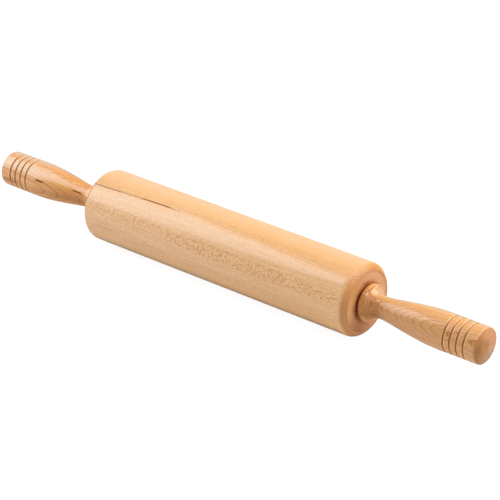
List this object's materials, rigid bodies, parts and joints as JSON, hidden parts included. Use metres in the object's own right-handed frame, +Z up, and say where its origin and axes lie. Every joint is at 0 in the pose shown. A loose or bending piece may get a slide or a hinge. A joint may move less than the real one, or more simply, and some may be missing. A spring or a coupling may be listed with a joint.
{
  "type": "rolling pin",
  "caption": "Maple rolling pin: a straight barrel with rounded shoulders that turns on ball bearings round a steel axle, with waisted, grooved handles fixed on its ends.",
  "frame": {"origin": "on the counter, under the middle of the barrel", "axes": "+X along the pin to its right-hand handle, +Z up"},
  "size_m": [0.5488, 0.0666, 0.0666],
  "materials": {
    "barrel_maple": "satin, lightly oiled",
    "handle_maple": "glossy lacquer",
    "axle_steel": "ground",
    "bearing_steel": "polished",
    "spring_steel": "blackened",
    "insert_brass": "turned",
    "cage_nylon": "moulded",
    "spacer_nylon": "moulded"
  },
  "bodies": {
    "barrel": {"barrel": "barrel_maple", "bearing_outer_ring_right": "bearing_steel", "bearing_shield_in_right": "bearing_steel", "bearing_shield_out_right": "bearing_steel", "bearing_outer_ring_left": "bearing_steel", "bearing_shield_in_left": "bearing_steel", "bearing_shield_out_left": "bearing_steel"},
    "axle": {"axle_rod": "axle_steel", "bearing_inner_ring_right": "bearing_steel", "axle_clip_right": "spring_steel", "handle_spacer_right": "spacer_nylon", "threaded_insert_right": "insert_brass", "handle_right": "handle_maple", "bearing_inner_ring_left": "bearing_steel", "axle_clip_left": "spring_steel", "handle_spacer_left": "spacer_nylon", "threaded_insert_left": "insert_brass", "handle_left": "handle_maple"},
    "cage_right": {"bearing_cage_right": "cage_nylon"},
    "ball_right_1": {"bearing_ball_right_1": "bearing_steel"},
    "ball_right_2": {"bearing_ball_right_2": "bearing_steel"},
    "ball_right_3": {"bearing_ball_right_3": "bearing_steel"},
    "ball_right_4": {"bearing_ball_right_4": "bearing_steel"},
    "ball_right_5": {"bearing_ball_right_5": "bearing_steel"},
    "ball_right_6": {"bearing_ball_right_6": "bearing_steel"},
    "ball_right_7": {"bearing_ball_right_7": "bearing_steel"},
    "cage_left": {"bearing_cage_left": "cage_nylon"},
    "ball_left_1": {"bearing_ball_left_1": "bearing_steel"},
    "ball_left_2": {"bearing_ball_left_2": "bearing_steel"},
    "ball_left_3": {"bearing_ball_left_3": "bearing_steel"},
    "ball_left_4": {"bearing_ball_left_4": "bearing_steel"},
    "ball_left_5": {"bearing_ball_left_5": "bearing_steel"},
    "ball_left_6": {"bearing_ball_left_6": "bearing_steel"},
    "ball_left_7": {"bearing_ball_left_7": "bearing_steel"}
  },
  "joints": [
    {"name": "axle_spin", "type": "hinge", "parent": "barrel", "child": "axle", "pos_m": [0, 0, 0.03331], "axis": [1, 0, 0], "continuous": true},
    {"name": "cage_right_orbit", "type": "hinge", "parent": "barrel", "child": "cage_right", "pos_m": [0.14793, 0, 0.03331], "axis": [1, 0, 0], "continuous": true},
    {"name": "ball_right_1_spin", "type": "hinge", "parent": "cage_right", "child": "ball_right_1", "pos_m": [0.14793, 0, 0.02537], "axis": [1, 0, 0], "continuous": true},
    {"name": "ball_right_2_spin", "type": "hinge", "parent": "cage_right", "child": "ball_right_2", "pos_m": [0.14793, 0.00621, 0.02836], "axis": [1, 0, 0], "continuous": true},
    {"name": "ball_right_3_spin", "type": "hinge", "parent": "cage_right", "child": "ball_right_3", "pos_m": [0.14793, 0.00774, 0.03508], "axis": [1, 0, 0], "continuous": true},
    {"name": "ball_right_4_spin", "type": "hinge", "parent": "cage_right", "child": "ball_right_4", "pos_m": [0.14793, 0.00344, 0.04046], "axis": [1, 0, 0], "continuous": true},
    {"name": "ball_right_5_spin", "type": "hinge", "parent": "cage_right", "child": "ball_right_5", "pos_m": [0.14793, -0.00344, 0.04046], "axis": [1, 0, 0], "continuous": true},
    {"name": "ball_right_6_spin", "type": "hinge", "parent": "cage_right", "child": "ball_right_6", "pos_m": [0.14793, -0.00774, 0.03508], "axis": [1, 0, 0], "continuous": true},
    {"name": "ball_right_7_spin", "type": "hinge", "parent": "cage_right", "child": "ball_right_7", "pos_m": [0.14793, -0.00621, 0.02836], "axis": [1, 0, 0], "continuous": true},
    {"name": "cage_left_orbit", "type": "hinge", "parent": "barrel", "child": "cage_left", "pos_m": [-0.14793, 0, 0.03331], "axis": [1, 0, 0], "continuous": true},
    {"name": "ball_left_1_spin", "type": "hinge", "parent": "cage_left", "child": "ball_left_1", "pos_m": [-0.14793, 0, 0.02537], "axis": [1, 0, 0], "continuous": true},
    {"name": "ball_left_2_spin", "type": "hinge", "parent": "cage_left", "child": "ball_left_2", "pos_m": [-0.14793, -0.00621, 0.02836], "axis": [1, 0, 0], "continuous": true},
    {"name": "ball_left_3_spin", "type": "hinge", "parent": "cage_left", "child": "ball_left_3", "pos_m": [-0.14793, -0.00774, 0.03508], "axis": [1, 0, 0], "continuous": true},
    {"name": "ball_left_4_spin", "type": "hinge", "parent": "cage_left", "child": "ball_left_4", "pos_m": [-0.14793, -0.00344, 0.04046], "axis": [1, 0, 0], "continuous": true},
    {"name": "ball_left_5_spin", "type": "hinge", "parent": "cage_left", "child": "ball_left_5", "pos_m": [-0.14793, 0.00344, 0.04046], "axis": [1, 0, 0], "continuous": true},
    {"name": "ball_left_6_spin", "type": "hinge", "parent": "cage_left", "child": "ball_left_6", "pos_m": [-0.14793, 0.00774, 0.03508], "axis": [1, 0, 0], "continuous": true},
    {"name": "ball_left_7_spin", "type": "hinge", "parent": "cage_left", "child": "ball_left_7", "pos_m": [-0.14793, 0.00621, 0.02836], "axis": [1, 0, 0], "continuous": true}
  ],
  "couplings": [
    {"joint": "cage_right_orbit", "follows": "axle_spin", "ratio": 0.375},
    {"joint": "ball_right_1_spin", "follows": "axle_spin", "ratio": -1.875},
    {"joint": "ball_right_2_spin", "follows": "axle_spin", "ratio": -1.875},
    {"joint": "ball_right_3_spin", "follows": "axle_spin", "ratio": -1.875},
    {"joint": "ball_right_4_spin", "follows": "axle_spin", "ratio": -1.875},
    {"joint": "ball_right_5_spin", "follows": "axle_spin", "ratio": -1.875},
    {"joint": "ball_right_6_spin", "follows": "axle_spin", "ratio": -1.875},
    {"joint": "ball_right_7_spin", "follows": "axle_spin", "ratio": -1.875},
    {"joint": "cage_left_orbit", "follows": "axle_spin", "ratio": 0.375},
    {"joint": "ball_left_1_spin", "follows": "axle_spin", "ratio": -1.875},
    {"joint": "ball_left_2_spin", "follows": "axle_spin", "ratio": -1.875},
    {"joint": "ball_left_3_spin", "follows": "axle_spin", "ratio": -1.875},
    {"joint": "ball_left_4_spin", "follows": "axle_spin", "ratio": -1.875},
    {"joint": "ball_left_5_spin", "follows": "axle_spin", "ratio": -1.875},
    {"joint": "ball_left_6_spin", "follows": "axle_spin", "ratio": -1.875},
    {"joint": "ball_left_7_spin", "follows": "axle_spin", "ratio": -1.875}
  ]
}
